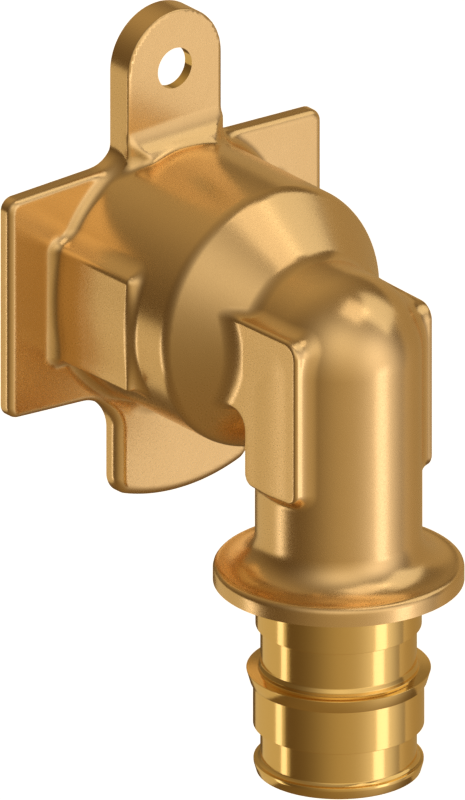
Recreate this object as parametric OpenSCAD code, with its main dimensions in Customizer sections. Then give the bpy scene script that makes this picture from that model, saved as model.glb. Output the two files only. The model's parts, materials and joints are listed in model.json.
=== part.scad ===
// Wall plate elbow: one brass casting with a machined spigot for expanded pipe.
// Its threaded socket opens in the wall face, and its spigot points down.
// The origin is the socket's axis on the wall face. The room is towards -Y and +Z is up.

/* [Wall plate] */
// Width across both wings
plate_w = 40.5; // [37:0.1:52]
// Thickness of the wings
plate_t = 1.6; // [1.2:0.1:2.6]
// Height of the top edge above the socket's axis, on the centre line
plate_up = 12.75; // [11.5:0.05:13.5]
// Depth of the bottom edge below the socket's axis, on the centre line
plate_down = 13.1; // [12.5:0.05:15]
// Fall of the top edge towards each tip, in degrees
plate_top_fall = 2; // [0:0.5:5]
// Rise of the bottom edge towards each tip, in degrees
plate_bottom_rise = 3; // [0:0.5:6]
// Radius of the plate's corners in front view
plate_corner_r = 1.3; // [0.9:0.1:3]
// Rounding of the plate's front edge
plate_edge_r = 0.75; // [0.3:0.05:0.85]
// Fillet between the plate and the socket body
plate_fillet_r = 1.4; // [0.4:0.1:2.5]

/* [Fixing tab] */
// Width of the tab
tab_w = 12.1; // [10:0.1:16]
// Thickness of the tab
tab_t = 3; // [2:0.1:5]
// Height of the tab's round end's centre above the socket's axis
tab_rise = 22.6; // [20:0.1:32]
// Diameter of the screw hole
screw_d = 4.4; // [3:0.1:5.5]
// Distance of the screw hole below the round end's centre
screw_drop = 0.3; // [0:0.05:1]
// Thickness that is left around the screw hole, in front of the recess in the tab's back
screw_wall = 1.15; // [0.8:0.05:1.8]
// Diameter of the recess in the tab's back
recess_d = 8; // [6:0.1:9]
// Fillet between the front of the tab and the socket body
tab_front_r = 2; // [0.5:0.1:3]
// Fillet between the sides of the tab and the plate's top edge
tab_side_r = 2.1; // [0.5:0.1:3]

/* [Bottom ear] */
// Width of the ear
ear_w = 17.4; // [12:0.1:19]
// Distance of the ear's own centre line to the right of the socket's axis
ear_shift = 2.15; // [-1:0.05:3]
// Depth of the ear's lowest point below the socket's axis
ear_down = 25.4; // [20:0.1:32]
// Thickness of the ear
ear_t = 2; // [1.8:0.1:3]
// Radius of the ear's lower edge in front view
ear_arc_r = 21.85; // [15:0.05:40]
// Radius of the ear's lower corners
ear_corner_r = 1.5; // [1.4:0.1:4]
// Rounding of the ear's front edge
ear_edge_r = 1.2; // [0.3:0.1:1.3]
// Fillet between the ear and the plate's bottom edge
ear_fillet_r = 4; // [1:0.1:4.5]

/* [Socket] */
// Outside diameter of the socket body
body_d = 28; // [26.5:0.1:32]
// Length of the straight part of the socket body from the wall face
body_len = 19; // [18.5:0.05:21.5]
// Rounding between the straight part and the cone
body_edge_r = 1; // [0.3:0.1:2]
// Angle between the cone's side and the socket's axis, in degrees
cone_angle = 39.5; // [37:0.5:50]
// Fillet between the cone and the bend
cone_fillet_r = 3; // [1:0.1:4]
// Core diameter of the pipe thread
thread_core_d = 18.63; // [14:0.01:20]
// Depth of the threaded bore from the wall face
socket_depth = 16; // [10:0.1:18]
// Width of the chamfer at the socket's mouth
mouth_chamfer = 1.3; // [0.3:0.1:2]

/* [Blocks beside the socket] */
// Distance across the two blocks at the wall face
block_span = 29; // [28.9:0.1:36]
// Length of the blocks from the wall face
block_len = 13.4; // [8:0.1:16]
// Height of the blocks' top above the socket's axis
block_up = 6; // [4:0.1:8]
// Depth of the blocks' bottom below the socket's axis
block_down = 6.65; // [4:0.05:8]
// Draft of the blocks' and the pads' sides, in degrees
draft = 1.4; // [0:0.1:3]
// Rounding of the blocks' and the pads' edges
block_edge_r = 0.45; // [0.2:0.05:0.8]

/* [Bend] */
// Distance of the spigot's axis from the wall face
spigot_out = 30.1; // [29.5:0.1:34]
// Outside diameter of the bend
bend_d = 17.1; // [16.6:0.02:18.2]
// Diameter of the waterway
waterway_d = 13; // [8:0.1:13.8]

/* [Pads beside the bend] */
// Distance across the two pads at their front
pad_w = 17.9; // [17.4:0.1:20]
// Reach of the pads in front of the spigot's axis
pad_front = 4.3; // [2.5:0.1:6]
// Reach of the pads' lower part behind the spigot's axis
pad_back = 4.1; // [2.5:0.1:5]
// Height of the pads' top above the socket's axis
pad_up = 4.25; // [2.5:0.05:5.5]
// Depth of the pads' upper part below the socket's axis
pad_mid = 6; // [4:0.1:7]
// Depth of the pads' bottom below the socket's axis
pad_down = 13.8; // [11:0.1:15]
// Radius of the pads' front top corner
pad_top_r = 1.8; // [0.9:0.1:2.5]
// Radius of the pads' lower corners
pad_low_r = 1.3; // [0.9:0.1:2]
// Radius of the pads' inner corner
pad_inner_r = 1.9; // [0.5:0.1:2.5]

/* [Flange] */
// Diameter of the flange
flange_d = 25.7; // [24:0.02:30]
// Depth of the flange's lower face below the socket's axis
flange_down = 25.2; // [24.5:0.1:32]
// Height of the flange at its rim
flange_t = 2; // [1.5:0.1:3]
// Rounding of the flange's upper rim
flange_edge_r = 0.7; // [0.2:0.1:0.9]
// Fillet between the flange and the bend
flange_fillet_r = 3.5; // [1:0.1:3.5]

/* [Spigot] */
// Diameter of the collar under the flange
collar_d = 17; // [16.5:0.05:18]
// Length of the collar
collar_len = 4.9; // [3:0.1:7]
// Diameter of the necks between the ribs
neck_d = 16; // [15.4:0.05:16.4]
// Length of the upper neck
upper_neck_len = 4.45; // [2:0.05:7]
// Diameter of the small shoulder above the middle rib
shoulder_d = 16.44; // [16.42:0.02:17.5]
// Height of the shoulder
shoulder_h = 0.4; // [0.2:0.05:0.8]
// Diameter of the middle rib
rib_d = 18.9; // [18.2:0.02:20]
// Diameter of the middle rib at its lower edge
rib_low_d = 18.1; // [17.9:0.02:18.2]
// Height of the middle rib's tapering side
rib_h = 1.4; // [0.8:0.05:2.5]
// Diameter of the band below the middle rib
band_d = 17.5; // [16.6:0.02:17.9]
// Length of the band
band_len = 4.7; // [2:0.1:7]
// Length of the lower neck
lower_neck_len = 3.85; // [2:0.05:6]
// Diameter of the end rib
end_rib_d = 17.4; // [16.6:0.02:18]
// Diameter of the spigot's end
end_d = 16.86; // [15.6:0.02:17]
// Height of the end rib
end_rib_h = 1.25; // [0.8:0.05:2.5]
// Height of the end rib's straight rim, above its taper
end_rim_h = 0.3; // [0.1:0.05:0.6]
// Fillet between the lower neck and the end rib
end_fillet_r = 0.3; // [0.1:0.05:0.5]

/* [Hidden] */
$fn = 96;

brass = [0.80, 0.58, 0.31];
// Facets of a full turn on the rounded corners that a hull joins
soft_fn = 32;
// Steps of a turned arc
arc_steps = 8;
// Overlap that joins two solids, and the extra length of a cut
eps = 0.02;
cut = 1;
// Depth that a blend reaches into the solids that it joins
root = 1;
// Point angle of the drill that leaves the socket's bottom
drill_point = 118;

body_r = body_d / 2;
bend_r = bend_d / 2;
tab_r = tab_w / 2;
ear_left = ear_shift - ear_w / 2;
ear_right = ear_shift + ear_w / 2;
ear_centre_z = ear_arc_r - ear_down;
flange_top = flange_t - flange_down;
collar_end = -flange_down - collar_len;
shoulder_top = collar_end - upper_neck_len;
rib_top = shoulder_top - shoulder_h;
rib_end = rib_top - rib_h;
band_end = rib_end - band_len;
end_rib_top = band_end - lower_neck_len;
spigot_end = end_rib_top - end_rib_h;

// Height of the plate's top and bottom edges at a distance from the centre line
function top_edge(x) = plate_up - abs(x) * tan(plate_top_fall);
function bottom_edge(x) = -plate_down + abs(x) * tan(plate_bottom_rise);

// Points along an arc about a centre
function arc(centre, r, from, to) =
    [for (i = [0:arc_steps]) let(a = from + (to - from) * i / arc_steps) centre + r * [cos(a), sin(a)]];

// Turns a shape drawn on the floor, and raised from it, to stand on the wall face
module on_wall() {
    rotate([90, 0, 0]) children();
}

// Turns an outline of distance from the wall and height into a slab centred on X = 0
module across(width) {
    rotate([90, 0, -90]) linear_extrude(width, center = true) children();
}

// A round post with a rounded front edge, for the corners of a flat casting
module post(at, r, thick, edge) {
    translate([at[0], at[1], 0]) rotate_extrude($fn = soft_fn) polygon(concat(
        [[0, 0], [r, 0]], arc([r - edge, thick - edge], edge, 0, 90), [[0, thick]]));
}

// A disc with rounded rims that lies across X, for a pad's corner
module pad_corner(out, height, r, width) {
    translate([0, -out, height]) rotate([0, 90, 0]) for (side = [-1, 1])
        translate([0, 0, side * (width / 2 - block_edge_r)])
            rotate_extrude($fn = soft_fn) translate([r - block_edge_r, 0]) circle(block_edge_r, $fn = soft_fn);
}

module plate_outline() {
    tip = plate_w / 2;
    polygon([[-tip, bottom_edge(tip)], [0, -plate_down], [tip, bottom_edge(tip)],
             [tip, top_edge(tip)], [0, plate_up], [-tip, top_edge(tip)]]);
}

// The two wings are one flat plate with a rounded front edge
module wings() {
    tip = plate_w / 2 - plate_corner_r;
    on_wall() hull() {
        for (side = [-1, 1]) {
            post([side * tip, top_edge(tip) - plate_corner_r], plate_corner_r, plate_t, plate_edge_r);
            post([side * tip, bottom_edge(tip) + plate_corner_r], plate_corner_r, plate_t, plate_edge_r);
        }
        post([0, plate_up - plate_corner_r], plate_corner_r, plate_t, plate_edge_r);
        post([0, plate_corner_r - plate_down], plate_corner_r, plate_t, plate_edge_r);
    }
}

// A tab with a round end and its blends to the plate's top edge and the socket body
module fixing_tab() {
    on_wall() linear_extrude(tab_t) {
        translate([0, tab_rise]) circle(tab_r);
        translate([-tab_r, 0]) square([tab_w, tab_rise]);
    }
    on_wall() linear_extrude(plate_t) for (side = [-1, 1]) tab_side_blend(side);
    intersection() {
        on_wall() ring_blend(body_r, tab_t, tab_front_r);
        translate([-tab_r, -body_len, 0]) cube([tab_w, body_len, tab_rise]);
    }
}

module tab_side_blend(side) {
    foot = tab_r + tab_side_r;
    centre_z = top_edge(foot) + tab_side_r;
    difference() {
        polygon([[side * (tab_r - root), top_edge(foot) - root], [side * foot, top_edge(foot) - root],
                 [side * foot, centre_z], [side * (tab_r - root), centre_z]]);
        translate([side * foot, centre_z]) circle(tab_side_r);
    }
}

// A ring that fills the corner between a cylinder about the socket's axis and a flat face
module ring_blend(r, height, fillet) {
    rotate_extrude() polygon(concat(
        [[r - root, height - eps], [r + fillet, height - eps]],
        arc([r + fillet, height + fillet], fillet, 270, 180),
        [[r - root, height + fillet]]));
}

// A flat ear with a round lower edge, and its blends to the plate's bottom edge
module bottom_ear() {
    corner_reach = asin((ear_w / 2 - ear_corner_r) / (ear_arc_r - ear_corner_r));
    corner_z = ear_centre_z - (ear_arc_r - ear_corner_r) * cos(corner_reach);
    on_wall() hull() {
        for (x = [ear_left + ear_corner_r, ear_right - ear_corner_r]) {
            post([x, corner_z], ear_corner_r, ear_t, ear_edge_r);
            post([x, -body_r / 2], ear_corner_r, ear_t, ear_edge_r);
        }
        translate([ear_shift, ear_centre_z]) rotate([0, 0, 270 - corner_reach])
            rotate_extrude(angle = 2 * corner_reach, $fn = 180) polygon(concat(
                [[ear_arc_r - 2 * ear_edge_r, 0], [ear_arc_r, 0]],
                arc([ear_arc_r - ear_edge_r, ear_t - ear_edge_r], ear_edge_r, 0, 90),
                [[ear_arc_r - 2 * ear_edge_r, ear_t]]));
    }
    on_wall() linear_extrude(plate_t) {
        ear_blend(ear_left, -1);
        ear_blend(ear_right, 1);
    }
}

module ear_blend(edge, side) {
    foot = edge + side * ear_fillet_r;
    centre_z = bottom_edge(foot) - ear_fillet_r;
    difference() {
        polygon([[edge - side * root, bottom_edge(foot) + root], [foot, bottom_edge(foot) + root],
                 [foot, centre_z], [edge - side * root, centre_z]]);
        translate([foot, centre_z]) circle(ear_fillet_r);
    }
}

// The straight body, the cone and the bend's level arm, turned about the socket's axis
module socket_body() {
    fillet_out = body_len
        + (cone_fillet_r - (bend_r + cone_fillet_r - body_r) * cos(cone_angle)) / sin(cone_angle);
    on_wall() rotate_extrude() polygon(concat(
        [[0, 0], [body_r, 0]],
        arc([body_r - body_edge_r, body_len - body_edge_r * tan(cone_angle / 2)], body_edge_r, 0, cone_angle),
        arc([bend_r + cone_fillet_r, fillet_out], cone_fillet_r, 180 + cone_angle, 180),
        [[bend_r, spigot_out], [0, spigot_out]]));
    intersection() {
        on_wall() ring_blend(body_r, plate_t, plate_fillet_r);
        on_wall() linear_extrude(body_len) plate_outline();
    }
}

// Drafted flat blocks on both sides of the socket body
module side_blocks() {
    front = block_span / 2 - block_len * tan(draft);
    hull() for (side = [-1, 1], z = [block_up - block_edge_r, block_edge_r - block_down]) {
        translate([side * (front - block_edge_r), block_edge_r - block_len, z])
            sphere(block_edge_r, $fn = soft_fn);
        translate([side * (block_span / 2 - block_edge_r), -block_edge_r, z])
            sphere(block_edge_r, $fn = soft_fn);
    }
    block_foot();
}

// The blend of each block's flat side to the plate
module block_foot() {
    height = block_up + block_down - 2 * block_edge_r;
    for (side = [-1, 1]) translate([side * block_span / 2, -plate_t, block_edge_r - block_down])
        linear_extrude(height) difference() {
            polygon([[-side * root, eps], [side * plate_fillet_r, eps],
                     [side * plate_fillet_r, -plate_fillet_r], [-side * root, -plate_fillet_r]]);
            translate([side * plate_fillet_r, -plate_fillet_r]) circle(plate_fillet_r);
        }
}

// The round outer corner and the upright arm of the bend
module bend() {
    translate([0, -spigot_out, 0]) {
        sphere(bend_r);
        translate([0, 0, flange_top]) cylinder(r = bend_r, h = -flange_top);
    }
}

// L-shaped flat pads on both sides of the bend
module side_pads() {
    front = spigot_out + pad_front;
    back = spigot_out - pad_back;
    root_w = pad_w + 2 * (front - body_len) * tan(draft);
    back_w = pad_w + 2 * (front - back) * tan(draft);
    hull() {
        pad_corner(front - pad_top_r, pad_up - pad_top_r, pad_top_r, pad_w);
        pad_corner(front - pad_top_r, pad_top_r - pad_mid, pad_top_r, pad_w);
        pad_corner(body_len, pad_up - pad_low_r, pad_low_r, root_w);
        pad_corner(body_len, pad_low_r - pad_mid, pad_low_r, root_w);
    }
    hull() {
        pad_corner(front - pad_top_r, pad_up - pad_top_r, pad_top_r, pad_w);
        pad_corner(front - pad_low_r, pad_low_r - pad_down, pad_low_r, pad_w);
        pad_corner(back + pad_low_r, pad_up - pad_low_r, pad_low_r, back_w);
        pad_corner(back + pad_low_r, pad_low_r - pad_down, pad_low_r, back_w);
    }
    across(back_w - 2 * block_edge_r) difference() {
        translate([back - pad_inner_r, -pad_mid - pad_inner_r]) square(pad_inner_r + root);
        translate([back - pad_inner_r, -pad_mid - pad_inner_r]) circle(pad_inner_r);
    }
}

// The flange and the spigot below it, turned about the spigot's axis
module spigot() {
    rim = flange_d / 2;
    blend = min(flange_fillet_r, rim - flange_edge_r - bend_r);
    translate([0, -spigot_out, 0]) rotate_extrude() polygon(concat(
        [[0, flange_top + blend]],
        arc([bend_r + blend, flange_top + blend], blend, 180, 270),
        arc([rim - flange_edge_r, flange_top - flange_edge_r], flange_edge_r, 90, 0),
        [[rim, -flange_down]],
        step(collar_d, -flange_down, collar_end),
        step(neck_d, collar_end, shoulder_top + shoulder_h),
        step(shoulder_d, shoulder_top, rib_top),
        [[rib_d / 2, rib_top], [rib_low_d / 2, rib_end]],
        step(band_d, rib_end, band_end),
        [[neck_d / 2, band_end]],
        arc([neck_d / 2 + end_fillet_r, end_rib_top + end_fillet_r], end_fillet_r, 180, 270),
        step(end_rib_d, end_rib_top, end_rib_top - end_rim_h),
        [[end_d / 2, spigot_end], [0, spigot_end]]));
}

// The two points of a straight step of the spigot
function step(d, from, to) = [[d / 2, from], [d / 2, to]];

// The threaded bore from the wall face, with a chamfered mouth and a tapered bottom
module socket_bore() {
    core_r = thread_core_d / 2;
    mouth_r = core_r + mouth_chamfer;
    on_wall() {
        translate([0, 0, -cut]) cylinder(r = core_r, h = socket_depth + cut);
        translate([0, 0, -eps]) cylinder(r1 = mouth_r, r2 = core_r, h = mouth_chamfer);
        translate([0, 0, socket_depth - eps])
            cylinder(r1 = core_r, r2 = waterway_d / 2 - eps, h = (core_r - waterway_d / 2) / tan(drill_point / 2));
    }
}

// The waterway from the socket's bottom, round the bend and out of the spigot
module waterway() {
    on_wall() cylinder(d = waterway_d, h = spigot_out);
    translate([0, -spigot_out, 0]) {
        sphere(d = waterway_d);
        translate([0, 0, spigot_end - cut]) cylinder(d = waterway_d, h = cut - spigot_end);
    }
}

// The screw hole, with a recess behind it that leaves a thinner wall
module screw_hole() {
    on_wall() translate([0, tab_rise - screw_drop, -cut]) {
        cylinder(d = screw_d, h = tab_t + 2 * cut);
        cylinder(d = recess_d, h = tab_t - screw_wall + cut);
    }
}

module elbow() {
    color(brass) difference() {
        union() {
            wings();
            fixing_tab();
            bottom_ear();
            socket_body();
            side_blocks();
            bend();
            side_pads();
            spigot();
        }
        socket_bore();
        waterway();
        screw_hole();
    }
}

elbow();
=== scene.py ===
# %% [markdown]
# A wall plate elbow is the brass fitting that a tap screws into and a plastic pipe pushes onto. It is one
# piece: hot brass takes the shape of a mould, and then a lathe cuts the parts that have to fit, which are
# the ribbed spigot, the threaded socket and the waterway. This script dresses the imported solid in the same
# order. It casts the soft body, turns the spigot, cuts the bores and the thread, and gives each face the
# finish that its tool left.

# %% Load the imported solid
import json
import math
from itertools import combinations

import bpy
import numpy as np
from mathutils import Matrix, Vector


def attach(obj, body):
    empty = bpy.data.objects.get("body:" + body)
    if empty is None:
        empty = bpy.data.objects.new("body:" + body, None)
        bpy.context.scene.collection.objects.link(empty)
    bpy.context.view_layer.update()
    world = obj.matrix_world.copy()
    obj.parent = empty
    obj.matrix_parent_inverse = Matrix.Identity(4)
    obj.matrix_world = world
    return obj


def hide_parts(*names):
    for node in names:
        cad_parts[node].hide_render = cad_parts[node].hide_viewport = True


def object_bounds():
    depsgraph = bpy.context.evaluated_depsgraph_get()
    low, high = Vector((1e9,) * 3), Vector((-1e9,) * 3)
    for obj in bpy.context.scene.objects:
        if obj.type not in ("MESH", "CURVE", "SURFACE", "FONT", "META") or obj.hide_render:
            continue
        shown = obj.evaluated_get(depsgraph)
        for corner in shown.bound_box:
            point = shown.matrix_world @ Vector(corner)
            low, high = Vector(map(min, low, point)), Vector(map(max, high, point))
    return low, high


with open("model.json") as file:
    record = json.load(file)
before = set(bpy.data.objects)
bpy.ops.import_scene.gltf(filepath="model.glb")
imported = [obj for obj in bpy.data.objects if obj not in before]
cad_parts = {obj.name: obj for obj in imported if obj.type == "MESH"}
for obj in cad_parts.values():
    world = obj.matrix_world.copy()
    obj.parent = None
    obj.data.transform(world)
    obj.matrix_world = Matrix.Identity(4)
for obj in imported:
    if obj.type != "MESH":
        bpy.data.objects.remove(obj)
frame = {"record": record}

cad_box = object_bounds()
mounts = {mount["name"]: mount for mount in frame["record"]["mounts"]}
MM = 0.001


def in_mm(mount_name):
    """A mount's place in millimetres: across, out from the wall, and up."""
    x, y, z = (value / MM for value in mounts[mount_name]["pos_m"])
    return x, -y, z


spigot_out = in_mm("waterway")[1]
hole_up = in_mm("screw_hole")[2]
low, high = ([round(value / MM, 2) for value in corner] for corner in cad_box)
print("solid from", low, "to", high, "mm, spigot axis", round(spigot_out, 2), "mm out from the wall")

# %% [markdown]
# The camera comes first. Catalogue pictures of fittings are often drawn without perspective, and this one
# is:
# its upright edges stay parallel and its circles have the same shape near and far. An orthographic camera
# gives that. It looks down on the part from its front left.

# %% Camera
camera_turn = math.radians(-38.05)
camera_rise = math.radians(23.0)
pixels_per_mm = 9.8
picture_high = 800
aim = Vector((0, -12.53, -11.31)) * MM
camera_away = 0.5

towards_camera = Vector((math.sin(camera_turn) * math.cos(camera_rise),
                         -math.cos(camera_turn) * math.cos(camera_rise), math.sin(camera_rise)))
lens = bpy.data.cameras.new("camera")
lens.type = "ORTHO"
lens.ortho_scale = picture_high / pixels_per_mm * MM
camera = bpy.data.objects.new("camera", lens)
camera.location = aim + towards_camera * camera_away
camera.rotation_euler = (-towards_camera).to_track_quat("-Z", "Y").to_euler()
bpy.context.collection.objects.link(camera)
bpy.context.scene.camera = camera
print("picture is", round(lens.ortho_scale / MM, 2), "mm high, camera at",
      [round(v, 3) for v in camera.location])

# %% [markdown]
# A casting has no sharp inner corners, because metal flows badly into them and cracks as it cools. Every
# form runs into the next on a fillet. Bevel modifiers struggle where many forms meet, so the casting is
# described as a distance field instead: a formula that gives, for any point, the distance to the surface,
# negative inside the metal. Two fields then join or meet on a true round of any radius.

# %% Joining and meeting distance fields
def join(a, b, fillet):
    """Two forms as one, with a fillet in the corner between them."""
    return (np.maximum(fillet, np.minimum(a, b))
            - np.hypot(np.maximum(fillet - a, 0), np.maximum(fillet - b, 0)))


def meet(a, b, rounding):
    """What two forms share, with a rounded edge between them."""
    return (np.minimum(-rounding, np.maximum(a, b))
            + np.hypot(np.maximum(a + rounding, 0), np.maximum(b + rounding, 0)))


def ease(value, start, end, first, last):
    """Goes smoothly from first to last while value goes from start to end."""
    t = np.clip((value - start) / (end - start), 0, 1)
    return first + (last - first) * t * t * (3 - 2 * t)


print("two walls 1 mm away join to a field of", round(float(join(1.0, 1.0, 3.0)), 3), "mm")

# %% [markdown]
# The flat of the casting is the wall plate with its two wings, a tab with a screw hole above, and an ear
# below. They share one back, so each is an outline in the wall's plane, cut off at its own thickness. The
# outlines are joined before they get their thickness, which keeps the fillets between them in the plane.

# %% Wall plate, fixing tab and ear
wing_tip, wing_corner = 20.25, 1.3
plate_up, plate_down = 12.75, 13.1
top_slope, bottom_slope = math.tan(math.radians(2)), math.tan(math.radians(3))
plate_thick, plate_round = 1.6, 0.75
ear_side, ear_shift, ear_corner = 8.7, 2.15, 1.5
ear_low, ear_arc = 25.4, 21.85
ear_thick, ear_round, ear_fillet = 2.0, 1.2, 4.0
tab_half, tab_rise, tab_thick, tab_round = 6.05, 22.6, 3.0, 0.2
tab_fillet = 2.1
turn_below, turn_above = 2.5, 0.5
behind_wall = 1.0


def flat_forms(x, out, up):
    """The plate with its wings and ear, which thickens on the way down to the ear, and the tab."""
    across = np.abs(x)
    top = (up - plate_up + top_slope * across) * math.cos(math.atan(top_slope))
    bottom = (-up - plate_down + bottom_slope * across) * math.cos(math.atan(bottom_slope))
    wings = meet(meet(across - wing_tip, top, wing_corner), bottom, wing_corner)
    ear = meet(np.abs(x - ear_shift) - ear_side,
               np.hypot(x - ear_shift, up - (ear_arc - ear_low)) - ear_arc, ear_corner)
    ear = np.maximum(ear, up + plate_down / 2)
    outline = join(wings, ear, ear_fillet)
    turn = (-plate_down - turn_below, -plate_down + turn_above)
    thick = ease(up, *turn, ear_thick, plate_thick)
    rounding = ease(up, *turn, ear_round, plate_round)
    plate = meet(outline, out - thick, rounding)
    tab = np.hypot(x, np.maximum(up - tab_rise, 0)) - tab_half
    tab = np.maximum(meet(tab, out - tab_thick, tab_round), plate_up / 2 - up)
    return join(plate, tab, tab_fillet)


print("plate", 2 * wing_tip, "mm wide, tab to", tab_rise + tab_half, "mm and ear to", -ear_low, "mm")

# %% [markdown]
# The socket's body is round about the level axis: a straight part, then a cone that narrows to the bend.
# A flat block stands on each side of it, where a wrench holds the fitting. The blocks lean by a degree or
# so, the draft that lets a casting leave its mould.

# %% Socket body and side blocks
body_radius, body_length, body_round = 14.0, 19.0, 0.5
cone_angle = math.radians(39.5)
block_half, block_length, block_up, block_down = 14.5, 13.4, 6.0, 6.65
draft = math.tan(math.radians(1.4))
edge_round, front_round = 0.7, 0.45
block_fillet = 1.4


def socket_body(x, out, up):
    """The round straight part and the cone in front of it."""
    radius = np.hypot(x, up)
    cone = (radius - body_radius) * math.cos(cone_angle) + (out - body_length) * math.sin(cone_angle)
    return meet(radius - body_radius, cone, body_round)


def side_blocks(x, out, up):
    """Both blocks at once, because the distance across counts the same on either side."""
    face = np.abs(x) - block_half + draft * out
    block = meet(meet(face, out - block_length, front_round), up - block_up, edge_round)
    return meet(block, -up - block_down, front_round)


print("socket body", 2 * body_radius, "mm across, blocks", 2 * block_half, "mm across")

# %% [markdown]
# The bend is two round arms that meet in a ball. Its pads are L-shaped in side view: the lower leg clears
# the cone with a round inner corner. The flange at the foot of the bend stops the pipe's ring, and a wide
# fillet runs from it into the arm.

# %% Bend, pads and flange
bend_radius = 8.55
pad_half, pad_front, pad_back = 8.95, 4.3, 4.1
pad_up, pad_middle, pad_down = 4.25, 6.0, 13.8
pad_top_corner, pad_low_corner, pad_inner_corner = 1.8, 1.3, 1.9
pad_fillet, cone_fillet = 0.9, 0.65
flange_radius, flange_low, flange_thick, flange_round = 12.85, 25.2, 2.0, 0.7
flange_fillet = 3.5
spare = 1.5


def bend(x, out, up):
    """The level arm and the upright arm, each with the ball at its end."""
    beyond = out - spigot_out
    level = np.sqrt(x ** 2 + up ** 2 + np.maximum(beyond, 0) ** 2) - bend_radius
    upright = np.sqrt(x ** 2 + beyond ** 2 + np.maximum(up, 0) ** 2) - bend_radius
    level = np.maximum(level, body_length / 2 - out)
    upright = np.maximum(upright, -up - flange_low - spare)
    return level, upright


def side_pads(x, out, up):
    """The L-shaped pads: a block in side view with a notch taken out of its lower back corner."""
    beyond = out - spigot_out
    notch = -meet(beyond + pad_back, up + pad_middle, pad_inner_corner)
    side_view = meet(beyond - pad_front, up - pad_up, pad_top_corner)
    side_view = meet(side_view, meet(notch, -up - pad_down, pad_low_corner), pad_low_corner)
    face = np.abs(x) - pad_half + draft * (beyond - pad_front)
    return np.maximum(meet(side_view, face, front_round), body_length / 2 - out)


def flange(x, out, up):
    """A disc that runs on below its lower face, where the facing cut ends it."""
    radius = np.hypot(x, out - spigot_out)
    disc = meet(radius - flange_radius, up + flange_low - flange_thick, flange_round)
    return np.maximum(disc, -up - flange_low - spare)


print("bend", 2 * bend_radius, "mm across, pads", 2 * pad_half, "mm, flange", 2 * flange_radius, "mm")

# %% [markdown]
# The tab would snap off where it leaves the body, so it stands on a foot almost as wide as itself. The foot
# slopes out from the tab's face at 45 degrees and ends a little way out over the body.
#
# The whole casting is these forms joined in turn, each pair on the fillet that the mould gave it. The
# forms run past the wall face and past the flange's lower face, where flat cuts finish them later.

# %% The whole casting
plate_fillet, tab_front_fillet, ear_front_fillet = 1.4, 0.6, 2.2
foot_out, foot_up, foot_half, foot_round, foot_fillet = 4.4, 14.2, 5.9, 0.3, 0.8
fade_start, fade_end = body_radius - 1, body_radius + 1


def tab_foot(x, out, up):
    """A step that slopes back at 45 degrees to the tab's face, with ends cut back at 45 degrees too."""
    sloping = (out - foot_out + up - foot_up) / math.sqrt(2)
    ends = (np.abs(x) - foot_half + np.abs(out - tab_thick)) / math.sqrt(2)
    step = meet(meet(out - foot_out, sloping, foot_round), ends, foot_round)
    return np.maximum(step, plate_up / 2 - up)


def casting(x, y, z):
    """Distance to the casting's surface in millimetres, negative inside the metal."""
    out, up = -y, z
    level, upright = bend(x, out, up)
    body = join(socket_body(x, out, up), side_blocks(x, out, up), block_fillet)
    body = join(body, np.minimum(level, upright), cone_fillet)
    body = join(body, side_pads(x, out, up), pad_fillet)
    flat_fillet = (ease(np.abs(up), fade_start, fade_end, plate_fillet, 0)
                   + ease(up, fade_start, foot_up, 0, tab_front_fillet)
                   + ease(-up, fade_start, fade_end, 0, ear_front_fillet))
    solid = join(body, flat_forms(x, out, up), flat_fillet)
    solid = join(solid, tab_foot(x, out, up), foot_fillet)
    solid = join(solid, flange(x, out, up), flange_fillet)
    return np.maximum(solid, -out - behind_wall)


print("field at the socket's axis", round(float(casting(0.0, -5.0, 0.0)), 2), "mm")

# %% [markdown]
# A field has no faces yet. Dual contouring makes them: the space is divided into small cubes, and each cube
# that the surface passes through will hold one point. The first step is to work out the field on the
# corners of all the cubes, and to find the cubes with some corners in the metal and some outside it.

# %% Grid of small cubes
cell = 0.3
margin = behind_wall + 2 * cell
cube_corners = np.array([(i, j, k) for i in (0, 1) for j in (0, 1) for k in (0, 1)])


def sample(field, low, high):
    """The field on a grid around a box, one cube apart, and the place of the grid's first point."""
    x, y, z = (np.arange(a - margin, b + margin, cell) for a, b in zip(low, high))
    value = np.stack([field(row, y[:, None], z[None, :]).astype(np.float32) for row in x])
    return value, np.array([x[0], y[0], z[0]])


def cubes_on_surface(inside):
    """The place in the grid of each cube that the surface passes through."""
    cubes = tuple(n - 1 for n in inside.shape)
    count = np.zeros(cubes, np.int8)
    for i, j, k in cube_corners:
        count += inside[i:i + cubes[0], j:j + cubes[1], k:k + cubes[2]]
    return np.argwhere((count > 0) & (count < len(cube_corners)))


value, grid_start = sample(casting, low, high)
inside = value < 0
used = cubes_on_surface(inside)
print("grid of", inside.shape, "corners, and the surface passes through", len(used), "cubes")

# %% [markdown]
# Where should a cube's point lie? The middle of the places where the surface crosses the cube's edges would
# blunt every corner of the part. The flats that pass through those places meet at the true edge instead, so
# the point goes where they meet, held a little towards the middle. Two short steps along the slope of the
# field then put it onto the surface itself.

# %% One point in each cube
slope_step = 0.01
keep_middle = 0.05
steps_onto_surface = 2


def slope(field, points):
    """The direction in which the field grows, at each point."""
    steps = np.eye(3) * slope_step
    rises = [field(*(points + step).T) - field(*(points - step).T) for step in steps]
    return np.stack(rises, axis=1) / (2 * slope_step)


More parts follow.
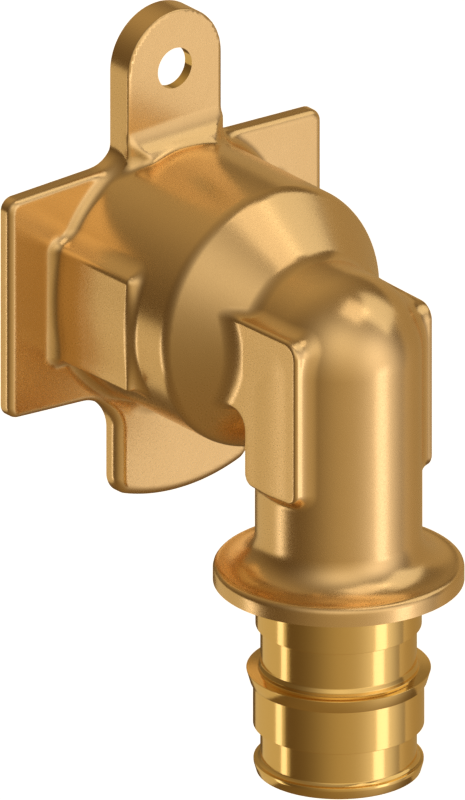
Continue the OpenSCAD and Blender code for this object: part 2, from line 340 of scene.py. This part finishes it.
def points_in_cubes(field, value, origin, used):
    """One point on the surface in each used cube, in millimetres."""
    at_corner = np.stack([value[tuple((used + corner).T)] for corner in cube_corners], axis=1)
    total, hits = np.zeros((len(used), 3)), np.zeros(len(used))
    flats, pulls = np.zeros((len(used), 3, 3)), np.zeros((len(used), 3))
    for a, b in combinations(range(len(cube_corners)), 2):
        if np.abs(cube_corners[a] - cube_corners[b]).sum() == 1:
            crossed = np.flatnonzero((at_corner[:, a] < 0) != (at_corner[:, b] < 0))
            start, end = at_corner[crossed, a], at_corner[crossed, b]
            share = (start / (start - end))[:, None]
            along = share * (cube_corners[b] - cube_corners[a])
            crossing = cell * (used[crossed] + cube_corners[a] + along)
            steep = slope(field, origin + crossing)
            steep /= np.linalg.norm(steep, axis=1, keepdims=True)
            total[crossed] += crossing
            hits[crossed] += 1
            flats[crossed] += steep[:, :, None] * steep[:, None, :]
            pulls[crossed] += steep * (steep * crossing).sum(axis=1, keepdims=True)
    middle = total / hits[:, None]
    wanted = (pulls + keep_middle * middle)[:, :, None]
    meeting = np.linalg.solve(flats + keep_middle * np.eye(3), wanted)[:, :, 0]
    points = origin + np.clip(meeting, cell * used, cell * (used + 1))
    for _ in range(steps_onto_surface):
        steep = slope(field, points)
        points -= (field(*points.T) / (steep ** 2).sum(axis=1))[:, None] * steep
    return points


cast_points = points_in_cubes(casting, value, grid_start, used)
print(len(cast_points), "points, at most", round(float(np.abs(casting(*cast_points.T)).max()), 4),
      "mm off the surface")

# %% [markdown]
# The faces come last. Wherever an edge of the grid passes through the surface, the four cubes around that
# edge each hold a point, and these four points make one square. Its corners are taken in the order that
# turns its front away from the metal.

# %% Squares between the points
def squares_across(inside, number, axis):
    """One square for each grid edge along the axis that passes through the surface, facing outwards."""
    here = np.take(inside, range(inside.shape[axis] - 1), axis)
    beyond = np.take(inside, range(1, inside.shape[axis]), axis)
    edges = np.argwhere(here != beyond)
    step_u, step_v = np.roll(np.eye(3, dtype=int), axis, axis=1)[1:]
    ring = [edges, edges - step_u, edges - step_u - step_v, edges - step_v]
    squares = np.stack([number[tuple(cell_at.T)] for cell_at in ring], axis=1)
    outwards = here[tuple(edges.T)]
    return np.where(outwards[:, None], squares, squares[:, ::-1])


number = np.full(tuple(n - 1 for n in inside.shape), -1, np.int32)
number[tuple(used.T)] = np.arange(len(used))
cast_squares = np.concatenate([squares_across(inside, number, axis) for axis in range(3)])
print(len(cast_squares), "squares of about", cell, "mm, lowest point number", int(cast_squares.min()))

# %% [markdown]
# Brass is an alloy of copper and zinc. Bare, it mirrors its surroundings in its own warm colour, and where
# brass mirrors brass the colour deepens to orange, which is what fills the corners of this part. Both
# finishes here are that one metal. They differ in how the tool left it: the mould leaves a fine grain that
# blurs what it mirrors, and the lathe leaves smooth rings that keep it sharp.

# %% Helpers for colours and nodes
def linear(hex_colour):
    """A colour picked on a screen, as the light values that the shader works in."""
    parts = [int(hex_colour[i:i + 2], 16) / 255 for i in (1, 3, 5)]
    return [c / 12.92 if c <= 0.04045 else ((c + 0.055) / 1.055) ** 2.4 for c in parts] + [1]


def add(tree, kind, settings=(), inputs=()):
    """Adds a node with its settings. An input takes a value, or the output that is linked to it."""
    node = tree.nodes.new(kind)
    for name, value in dict(settings).items():
        setattr(node, name, value)
    for name, value in dict(inputs).items():
        if isinstance(value, bpy.types.NodeSocket):
            tree.links.new(value, node.inputs[name])
        else:
            node.inputs[name].default_value = value
    return node


brass_light, brass_deep, brass_turned = "#FBDDAD", "#F5D6A3", "#FBDC97"
print("brass is", brass_light, "to", brass_deep, "and in light values",
      [round(v, 3) for v in linear(brass_light)])

# %% [markdown]
# Cast brass comes out of the mould with a skin of fine grain. Grain of about a sixth of a millimetre is a
# noise bump here, coarser than the real one so that it still shows as a sparkle in the picture. A second,
# wider noise shifts the roughness and the tint a little, as handling and cooling do.

# %% Cast brass
grain, waves, patches = 0.16, 1.6, 6.0
grain_depth, wave_depth = 0.006, 0.012
noise_low, noise_high = 0.3, 0.7
cast_smooth, cast_rough = 0.21, 0.29


def cast_brass():
    material = bpy.data.materials.new("cast brass")
    material.use_nodes = True
    tree = material.node_tree
    shader = tree.nodes["Principled BSDF"]
    place = add(tree, "ShaderNodeTexCoord").outputs["Object"]
    fine, wavy, patchy = (
        add(tree, "ShaderNodeTexNoise", inputs={"Vector": place, "Scale": 1 / (size * MM), "Detail": detail})
        for size, detail in ((grain, 2.0), (waves, 1.0), (patches, 3.0)))
    tint = add(tree, "ShaderNodeMix", {"data_type": "RGBA"}, {
        "Factor": patchy.outputs["Fac"], 6: linear(brass_light), 7: linear(brass_deep)})
    rough = add(tree, "ShaderNodeMapRange", inputs={
        "Value": fine.outputs["Fac"], "From Min": noise_low, "From Max": noise_high,
        "To Min": cast_smooth, "To Max": cast_rough})
    soft = add(tree, "ShaderNodeBump", inputs={
        "Height": wavy.outputs["Fac"], "Distance": wave_depth * MM, "Strength": 0.5})
    grainy = add(tree, "ShaderNodeBump", inputs={
        "Height": fine.outputs["Fac"], "Normal": soft.outputs["Normal"],
        "Distance": grain_depth * MM, "Strength": 0.6})
    tree.links.new(tint.outputs[2], shader.inputs["Base Color"])
    tree.links.new(rough.outputs["Result"], shader.inputs["Roughness"])
    tree.links.new(grainy.outputs["Normal"], shader.inputs["Normal"])
    shader.inputs["Metallic"].default_value = 1
    return material


print("grain of", grain, "mm on waves of", waves, "mm, roughness", cast_smooth, "to", cast_rough)

# %% [markdown]
# A lathe tool leaves a very fine spiral, which looks like rings about the axis that the part turned on.
# The spigot turned about the upright axis, and the socket about the level one, so there is one material for
# each, with a bump that only changes along its own axis. The rings are about a tenth of a millimetre apart,
# as a finishing cut leaves them. Under them the metal is smoother and yellower than the cast skin.

# %% Turned brass
ring_pitch, ring_depth = 0.11, 0.0012
turned_smooth, turned_rough = 0.11, 0.16


def turned_brass(name, axis):
    material = bpy.data.materials.new(name)
    material.use_nodes = True
    tree = material.node_tree
    shader = tree.nodes["Principled BSDF"]
    place = add(tree, "ShaderNodeTexCoord").outputs["Object"]
    along = add(tree, "ShaderNodeSeparateXYZ", inputs={"Vector": place}).outputs[axis]
    rings = add(tree, "ShaderNodeTexNoise", {"noise_dimensions": "1D"}, {
        "W": along, "Scale": 1 / (ring_pitch * MM), "Detail": 2.0})
    bump = add(tree, "ShaderNodeBump", inputs={
        "Height": rings.outputs["Fac"], "Distance": ring_depth * MM, "Strength": 1.0})
    rough = add(tree, "ShaderNodeMapRange", inputs={
        "Value": rings.outputs["Fac"], "From Min": noise_low, "From Max": noise_high,
        "To Min": turned_smooth, "To Max": turned_rough})
    tree.links.new(rough.outputs["Result"], shader.inputs["Roughness"])
    tree.links.new(bump.outputs["Normal"], shader.inputs["Normal"])
    shader.inputs["Base Color"].default_value = linear(brass_turned)
    shader.inputs["Metallic"].default_value = 1
    return material


finishes = [cast_brass(), turned_brass("turned brass", "Z"), turned_brass("bored brass", "Y")]
CAST, TURNED, BORED = range(3)
print("finishes:", [finish.name for finish in finishes])

# %% [markdown]
# Every shape from here on is a closed mesh that carries all three finishes in the same order. A boolean
# then keeps the finish of each face, and the metal that a tool uncovers gets the finish of that tool.

# %% Meshes from points and from profiles
def make_piece(name, points, faces, finish):
    """A mesh object from points in millimetres."""
    mesh = bpy.data.meshes.new(name)
    mesh.from_pydata((np.array(points) * MM).tolist(), [], [list(map(int, face)) for face in faces])
    for material in finishes:
        mesh.materials.append(material)
    mesh.polygons.foreach_set("material_index", np.full(len(mesh.polygons), finish, dtype=np.int32))
    piece = bpy.data.objects.new(name, mesh)
    bpy.context.collection.objects.link(piece)
    return piece


turn_steps = 160
edge_points = (0, 0.3, 0.7, 1)
longest_share = 0.45


def turn_piece(name, profile, place, finish):
    """A closed solid turned from (radius, height) points, top first, about the local Z axis of place."""
    points, rings = [], []
    for radius, height in profile:
        count = 1 if radius == 0 else turn_steps
        rings.append([len(points) + i % count for i in range(turn_steps)])
        for i in range(count):
            angle = 2 * math.pi * i / turn_steps
            points.append(place @ Vector((radius * math.cos(angle), radius * math.sin(angle), height)))
    faces = []
    for above, below in zip(rings, rings[1:]):
        for i in range(turn_steps):
            j = (i + 1) % turn_steps
            corners = [above[i], below[i], below[j], above[j]]
            faces.append([c for k, c in enumerate(corners) if c != corners[k - 1]])
    return make_piece(name, points, faces, finish)


def soften(profile, size):
    """Gives each corner of a profile a small round edge, as a deburring tool does."""
    soft = [profile[0]]
    for before, corner, after in zip(profile, profile[1:], profile[2:]):
        before, corner, after = (np.array(point, float) for point in (before, corner, after))
        sides = [before - corner, after - corner]
        lengths = [float(np.hypot(*side)) for side in sides]
        reach = min(size, *(length * longest_share for length in lengths))
        start, end = (corner + side / length * reach for side, length in zip(sides, lengths))
        for t in edge_points:
            soft.append(tuple((1 - t) ** 2 * start + 2 * t * (1 - t) * corner + t ** 2 * end))
    return soft + [profile[-1]]


upright = Matrix.Translation((0, -spigot_out, 0))
into_wall = Matrix.Rotation(math.radians(90), 4, "X")
rough_casting = make_piece("brass_elbow", cast_points, cast_squares, CAST)
print("rough casting has", len(rough_casting.data.polygons), "faces")

# %% [markdown]
# The spigot is turned. Its collar stops the pipe, the middle rib and the end rib bite into it, and the band
# between them fills it. A profile that spins about the axis is the natural way to make it, because it is
# how the lathe made it. Each corner gets the tiny round that catches the light as a fine bright line.

# %% Spigot
collar_radius, neck_radius, shoulder_radius = 8.5, 8.0, 8.22
rib_radius, rib_low_radius, band_radius = 9.45, 9.05, 8.75
end_rib_radius, end_radius = 8.7, 8.43
collar_low, shoulder_high, shoulder_low, rib_high = -30.1, -34.15, -34.55, -34.95
rib_low, band_low, end_rib_high, end_rim_low, spigot_low = -36.35, -41.05, -44.9, -45.2, -46.15
end_fillet = 0.3
edge_catch = 0.07

spigot_profile = [
    (0, -flange_low + spare / 2), (collar_radius, -flange_low + spare / 2), (collar_radius, collar_low),
    (neck_radius, collar_low), (neck_radius, shoulder_high), (shoulder_radius, shoulder_low),
    (shoulder_radius, rib_high), (rib_radius, rib_high), (rib_low_radius, rib_low), (band_radius, rib_low),
    (band_radius, band_low), (neck_radius, band_low), (neck_radius, end_rib_high + end_fillet),
    (neck_radius + end_fillet, end_rib_high), (end_rib_radius, end_rib_high), (end_rib_radius, end_rim_low),
    (end_radius, spigot_low), (0, spigot_low)]
spigot = turn_piece("spigot", soften(spigot_profile, edge_catch), upright, TURNED)
print("spigot has", len(spigot.data.polygons), "faces and ends at", spigot_low, "mm")

# %% [markdown]
# The cuts are closed shapes too. One flat tool faces the wall side and another faces the flange's lower
# side. The bores are the shapes of the drills that make them: a stepped one for the socket and the level
# waterway, one up the spigot, and one with a wide recess for the screw. A drill's point is a cone of 118
# degrees, so the socket's bottom slopes at half of that.

# %% Cutting tools
bore_radius = mounts["waterway"]["dims"]["r_mm"]
socket_radius = mounts["socket"]["dims"]["r_mm"]
screw_radius = mounts["screw_hole"]["dims"]["r_mm"]
socket_deep, mouth_chamfer, drill_slope = 16.0, 1.3, math.tan(math.radians(59))
recess_radius, screw_wall = 4.0, 1.15
end_chamfer, overrun = 0.25, 1.5
ball_steps = turn_steps // 4
past_part = 60


def block(name, corner, opposite, finish):
    """A box between two corners."""
    points = [(x, y, z) for x in (corner[0], opposite[0]) for y in (corner[1], opposite[1])
              for z in (corner[2], opposite[2])]
    faces = [(0, 1, 3, 2), (4, 6, 7, 5), (0, 4, 5, 1), (2, 3, 7, 6), (0, 2, 6, 4), (1, 5, 7, 3)]
    return make_piece(name, points, faces, finish)


print("drills for bores of", bore_radius, socket_radius, "and", screw_radius, "mm radius")

# %% [markdown]
# Each drill is a profile that spins about its own axis, so it takes one list of radii and heights. The
# level waterway ends in a ball, which leaves a round turn where it meets the upright one. Every tool runs
# on a little past the face that it enters, because two faces in one plane would leave a skin.

# %% Drills and facing tools
ball = [(bore_radius * math.sin(a), bore_radius * math.cos(a))
        for a in (math.pi / 2 * i / ball_steps for i in range(ball_steps + 1))]
ball[0] = (0, bore_radius)
mouth_radius = socket_radius + mouth_chamfer
drilled = socket_deep + (socket_radius - bore_radius) / drill_slope
socket_profile = [(radius, spigot_out + height) for radius, height in ball] + [
    (bore_radius, drilled), (socket_radius, socket_deep), (socket_radius, mouth_chamfer),
    (mouth_radius, 0), (mouth_radius, -overrun), (0, -overrun)]
spigot_bore_profile = [(0, 0), (bore_radius, 0), (bore_radius, spigot_low + end_chamfer),
                       (bore_radius + end_chamfer, spigot_low),
                       (bore_radius + end_chamfer, spigot_low - overrun), (0, spigot_low - overrun)]
recess_deep = tab_thick - screw_wall
screw_profile = [(0, tab_thick + overrun), (screw_radius, tab_thick + overrun), (screw_radius, recess_deep),
                 (recess_radius, recess_deep), (recess_radius, -overrun), (0, -overrun)]
wall_side = block("wall side", (-past_part, 0, -past_part), (past_part, past_part, past_part), CAST)
under_flange = block("under the flange", (-past_part, -past_part, -past_part),
                     (past_part, past_part, -flange_low), TURNED)
socket_drill = turn_piece("socket drill", socket_profile, into_wall, BORED)
spigot_drill = turn_piece("spigot drill", spigot_bore_profile, upright, TURNED)
screw_place = Matrix.Translation((0, 0, hole_up)) @ into_wall
screw_drill = turn_piece("screw drill", screw_profile, screw_place, BORED)
print("socket", round(2 * socket_radius, 2), "mm, waterway", 2 * bore_radius, "mm, screw",
      2 * screw_radius, "mm")

# %% [markdown]
# The socket's thread is a V-shaped groove that winds round the bore, so it follows a path and Geometry
# Nodes can make it. A spiral gives the path and a trapezoid gives the groove's section, and the swept
# shape is cut out of the wall. Half-inch pipe thread has 14 turns to the inch and flanks 55 degrees apart.

# %% Tree for the thread's groove
thread_pitch, thread_deep, thread_flat = 25.4 / 14, 1.162, 0.3
thread_flank = math.radians(27.5)
thread_clear = 0.15
thread_turns = 8.2
thread_from = -1.0
steps_a_turn = 96


def thread_tree():
    """Geometry Nodes that sweep the groove's section along a spiral, with its sizes as inputs."""
    tree = bpy.data.node_groups.new("thread groove", "GeometryNodeTree")
    face = tree.interface
    sizes = {"Pitch": thread_pitch * MM, "Turns": thread_turns, "Middle Radius": 0.0, "Depth": 0.0,
             "Mouth Width": 0.0, "Root Width": 0.0}
    for name, value in sizes.items():
        socket = face.new_socket(name, in_out="INPUT", socket_type="NodeSocketFloat")
        socket.default_value = value
    face.new_socket("Geometry", in_out="OUTPUT", socket_type="NodeSocketGeometry")
    given = add(tree, "NodeGroupInput").outputs
    rise = add(tree, "ShaderNodeMath", {"operation": "MULTIPLY"}, {0: given["Pitch"], 1: given["Turns"]})
    path = add(tree, "GeometryNodeCurveSpiral", inputs={
        "Resolution": steps_a_turn, "Rotations": given["Turns"], "Start Radius": given["Middle Radius"],
        "End Radius": given["Middle Radius"], "Height": rise.outputs[0], "Reverse": True})
    upright_path = add(tree, "GeometryNodeSetCurveNormal", {"mode": "Z_UP"}, {"Curve": path.outputs[0]})
    section = add(tree, "GeometryNodeCurvePrimitiveQuadrilateral", {"mode": "TRAPEZOID"}, {
        "Bottom Width": given["Mouth Width"], "Top Width": given["Root Width"], "Height": given["Depth"],
        "Offset": 0.0})
    wide_inwards = add(tree, "GeometryNodeTransform", inputs={
        "Geometry": section.outputs[0], "Rotation": (0, 0, math.radians(-90))})
    sweep = add(tree, "GeometryNodeCurveToMesh", inputs={
        "Curve": upright_path.outputs[0], "Profile Curve": wide_inwards.outputs[0], "Fill Caps": True})
    whole = add(tree, "GeometryNodeRealizeInstances", inputs={"Geometry": sweep.outputs[0]})
    finish = add(tree, "GeometryNodeSetMaterial", inputs={
        "Geometry": whole.outputs[0], "Material": finishes[BORED]})
    add(tree, "NodeGroupOutput", inputs={"Geometry": finish.outputs[0]})
    return tree


groove_tree = thread_tree()
print("tree has", len(groove_tree.nodes), "nodes")

# %% [markdown]
# A tree only runs on an object, so an empty mesh carries it. Its inputs are set by their identifiers before
# the object is first evaluated. What it makes is then kept as a plain mesh, and the modifier goes. The
# groove starts a turn outside the mouth and is a little deeper and wider than its gap at the bore, so that
# it cuts clean through the wall's surface.

# %% Thread tool
def settle(piece, modifier):
    """Keeps what a modifier makes as a plain mesh, and removes the modifier."""
    evaluated = piece.evaluated_get(bpy.context.evaluated_depsgraph_get())
    mesh = bpy.data.meshes.new_from_object(evaluated)
    piece.modifiers.remove(modifier)
    piece.data = mesh


def from_nodes(name, tree, values):
    """Runs a tree with the given inputs and returns its result as a plain mesh object."""
    carrier = bpy.data.objects.new(name, bpy.data.meshes.new(name))
    bpy.context.collection.objects.link(carrier)
    nodes = carrier.modifiers.new("shape", "NODES")
    nodes.node_group = tree
    for item in tree.interface.items_tree:
        if item.in_out == "INPUT" and item.name in values:
            nodes[item.identifier] = values[item.name]
    settle(carrier, nodes)
    return carrier


mouth_width = thread_pitch - thread_flat + 2 * thread_clear * math.tan(thread_flank)
thread = from_nodes("thread tool", groove_tree, {
    "Pitch": thread_pitch * MM, "Turns": thread_turns,
    "Middle Radius": (socket_radius - thread_clear + (thread_deep + thread_clear) / 2) * MM,
    "Depth": (thread_deep + thread_clear) * MM, "Mouth Width": mouth_width * MM,
    "Root Width": thread_flat * MM})
places = np.array([v.co for v in thread.data.vertices]) / MM
radii = np.hypot(places[:, 0], places[:, 1])
print("thread tool has", len(thread.data.polygons), "faces, radius", round(float(radii.min()), 2), "to",
      round(float(radii.max()), 2), "mm")

# %% [markdown]
# Now the part is put together in the order of the workshop: face the casting flat, add the turned spigot,
# drill, and cut the thread. Booleans on closed solids do this. The Manifold solver is made for such solids
# and keeps every result closed.

# %% Facing, drilling and threading
def work(piece, tool, operation):
    """Joins a tool shape to the piece or cuts it out, and leaves a plain mesh."""
    cut = piece.modifiers.new(tool.name, "BOOLEAN")
    cut.operation = operation
    cut.solver = "MANIFOLD"
    cut.object = tool
    settle(piece, cut)
    print(operation.lower(), tool.name, "leaves", len(piece.data.polygons), "faces")
    bpy.data.objects.remove(tool)


thread.data.transform(Matrix.Translation((0, -thread_from * MM, 0)) @ into_wall)
thread.data.materials.clear()
for material in finishes:
    thread.data.materials.append(material)
groove_finish = np.full(len(thread.data.polygons), BORED, dtype=np.int32)
thread.data.polygons.foreach_set("material_index", groove_finish)
elbow = rough_casting
for tool, operation in ((wall_side, "DIFFERENCE"), (under_flange, "DIFFERENCE"), (spigot, "UNION"),
                        (socket_drill, "DIFFERENCE"), (spigot_drill, "DIFFERENCE"),
                        (screw_drill, "DIFFERENCE"), (thread, "DIFFERENCE")):
    work(elbow, tool, operation)
faces_at_edge = np.zeros(len(elbow.data.edges), int)
for polygon in elbow.data.polygons:
    for loop in polygon.loop_indices:
        faces_at_edge[elbow.data.loops[loop].edge_index] += 1
print("edges that don't join two faces:", int((faces_at_edge != 2).sum()))
print("materials", [m.name for m in elbow.data.materials])

# %% [markdown]
# Smooth shading hides the facets of round forms, but it also smears real edges. Edges that turn by more
# than a set angle stay sharp, and elsewhere the largest faces rule the shading, so that a tiny round edge
# doesn't bend the light on the wide band beside it. On the cast skin the field knows the true slope of the
# surface, so its faces take their shading from the field, and light runs over them without a ripple.

# %% Shading
sharp_turn = math.radians(28)
agrees = 0.8
shortest_slope = 1e-6


def shade(piece):
    """Shades the whole piece, and returns how many corners of faces follow the field."""
    piece.data.polygons.foreach_set("use_smooth", np.ones(len(piece.data.polygons), bool))
    piece.data.set_sharp_from_angle(angle=sharp_turn)
    rule = piece.modifiers.new("largest faces rule", "WEIGHTED_NORMAL")
    rule.mode, rule.keep_sharp = "FACE_AREA", True
    settle(piece, rule)
    mesh = piece.data
    points = np.array([v.co for v in mesh.vertices]) / MM
    corner_point = np.zeros(len(mesh.loops), np.int32)
    mesh.loops.foreach_get("vertex_index", corner_point)
    normals = np.zeros(len(mesh.loops) * 3, np.float32)
    mesh.corner_normals.foreach_get("vector", normals)
    normals = normals.reshape(-1, 3)
    true_slope = slope(casting, points)
    true_slope /= np.maximum(np.linalg.norm(true_slope, axis=1, keepdims=True), shortest_slope)
    cast_corner = np.zeros(len(mesh.loops), bool)
    for polygon in mesh.polygons:
        if polygon.material_index == CAST:
            cast_corner[polygon.loop_start:polygon.loop_start + polygon.loop_total] = True
    wanted = true_slope[corner_point]
    follow = cast_corner & ((wanted * normals).sum(axis=1) > agrees)
    normals[follow] = wanted[follow]
    mesh.normals_split_custom_set(normals.tolist())
    return int(follow.sum())


followed = shade(elbow)
elbow.data.name = elbow.name
print(followed, "corners are shaded from the field, of", len(elbow.data.loops))

# %% [markdown]
# The part hangs on a wall in use, so nothing stands under it here. A floor of pale paper lies well below. It
# glows a little, so that the picture's ground is white, and it is kept out of reflections, because a white
# ground would light the metal from underneath.

# %% Floor
floor_drop, floor_half = 600, 6000
floor = make_piece("floor", [(-floor_half, -floor_half, -floor_drop), (floor_half, -floor_half, -floor_drop),
                             (floor_half, floor_half, -floor_drop), (-floor_half, floor_half, -floor_drop)],
                   [(0, 1, 2, 3)], CAST)
paper = bpy.data.materials.new("pale paper")
paper.use_nodes = True
for name, value in {"Base Color": linear("#F4F4F2"), "Roughness": 0.9, "Emission Color": linear("#FFFFFF"),
                    "Emission Strength": 0.9}.items():
    paper.node_tree.nodes["Principled BSDF"].inputs[name].default_value = value
floor.data.materials.clear()
floor.data.materials.append(paper)
floor.visible_glossy = floor.visible_diffuse = False
print("floor", 2 * floor_half, "mm wide,", floor_drop, "mm below the socket")

# %% [markdown]
# Metal shows its surroundings more than its own colour, so the surroundings are the real paint here. The
# room is dim and warm, with a few soft round glows in it. The brightest two lie to the right of the front,
# one a little up and one low, and light the faces that look that way. One stands high at the front left.
# Weak, warmer ones lie low in front, behind and underneath, and keep the far sides from going black.

# %% Room
def towards(turn, rise):
    """A direction from the part. Turn 0 is in front of the wall plate, and 90 is at its right."""
    a, e = math.radians(turn), math.radians(rise)
    return Vector((math.sin(a) * math.cos(e), -math.cos(a) * math.cos(e), math.sin(e)))


def glow(tree, direction, before, turn, rise, narrow, brightness, colour):
    """Adds a soft round glow to the room, brightest in one direction."""
    near = add(tree, "ShaderNodeVectorMath", {"operation": "DOT_PRODUCT"}, {
        0: direction, 1: towards(turn, rise)})
    fall = add(tree, "ShaderNodeMath", {"operation": "MULTIPLY_ADD"}, {
        0: near.outputs["Value"], 1: narrow, 2: -narrow})
    amount = add(tree, "ShaderNodeMath", {"operation": "EXPONENT"}, {0: fall.outputs[0]})
    light = add(tree, "ShaderNodeVectorMath", {"operation": "SCALE"}, {
        0: [brightness * part for part in linear(colour)[:3]], "Scale": amount.outputs[0]})
    both = add(tree, "ShaderNodeVectorMath", {"operation": "ADD"}, {0: before, 1: light.outputs[0]})
    return both.outputs[0]


dim_red, dim_green, dim_blue = 0.06, 0.031, 0.01
glows = (
    (18, 11, 9.0, 0.84, "#FAECD6"), (31, -26, 9.0, 0.62, "#FAECD6"), (-36, 37, 6.5, 0.64, "#FFEFCF"),
    (-28, -12, 3.6, 0.32, "#FFE2A3"), (176, 46, 3.5, 0.36, "#FFDE9E"), (0, -90, 2.5, 0.16, "#FFD185"))
room = bpy.data.worlds.new("room")
room.use_nodes = True
bpy.context.scene.world = room
direction = add(room.node_tree, "ShaderNodeTexCoord").outputs["Generated"]
seen = add(room.node_tree, "ShaderNodeCombineXYZ", inputs={
    "X": dim_red, "Y": dim_green, "Z": dim_blue}).outputs[0]
for turn, rise, narrow, brightness, colour in glows:
    seen = glow(room.node_tree, direction, seen, turn, rise, narrow, brightness, colour)
room.node_tree.links.new(seen, room.node_tree.nodes["Background"].inputs["Color"])
print("room has", len(glows), "glows, the brightest", max(brightness for _, _, _, brightness, _ in glows))

# %% [markdown]
# Glows have no edge, but a studio's soft boxes do, and their edges give polished metal its crisp stripes.
# Rectangular lights add these: one above, one at the upper right for the slopes that face it, a small one
# low in front, a wide dim one at the right, and two low behind on the left. The narrower of those two draws
# a bright line down the spigot. Each is given by the angles at which the part sees it.

# %% Lights
light_away = 0.8


def soft_light(name, turn, rise, half_wide, half_tall, brightness, colour):
    """A rectangular light that faces the part, with its size and its place as angles seen from there."""
    light = bpy.data.lights.new(name, "AREA")
    light.shape = "RECTANGLE"
    light.size, light.size_y = (
        2 * light_away * math.tan(math.radians(half)) for half in (half_wide, half_tall))
    light.energy = brightness * math.pi * light.size * light.size_y
    light.color = linear(colour)[:3]
    place = bpy.data.objects.new(name, light)
    place.location = aim + towards(turn, rise) * light_away
    place.rotation_euler = towards(turn, rise).to_track_quat("Z", "Y").to_euler()
    place.visible_camera = False
    bpy.context.collection.objects.link(place)


soft_light("above", 30, 69, 14, 14, 0.8, "#FFEBCA")
soft_light("upper right", 65, 43, 21, 19, 0.7, "#FFF2D3")
soft_light("front", 23, -20, 8, 10, 0.68, "#FFF3E9")
soft_light("right", 102, -6, 38, 31, 0.28, "#FFDD9C")
soft_light("low behind left", -152, -27, 34, 17, 0.44, "#FFE9B5")
soft_light("edge line", -125, -26, 5, 11, 0.85, "#FFF3E9")
bpy.context.scene.view_settings.view_transform = "Standard"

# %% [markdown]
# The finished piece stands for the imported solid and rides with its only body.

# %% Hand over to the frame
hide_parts("elbow")
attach(elbow, "root")
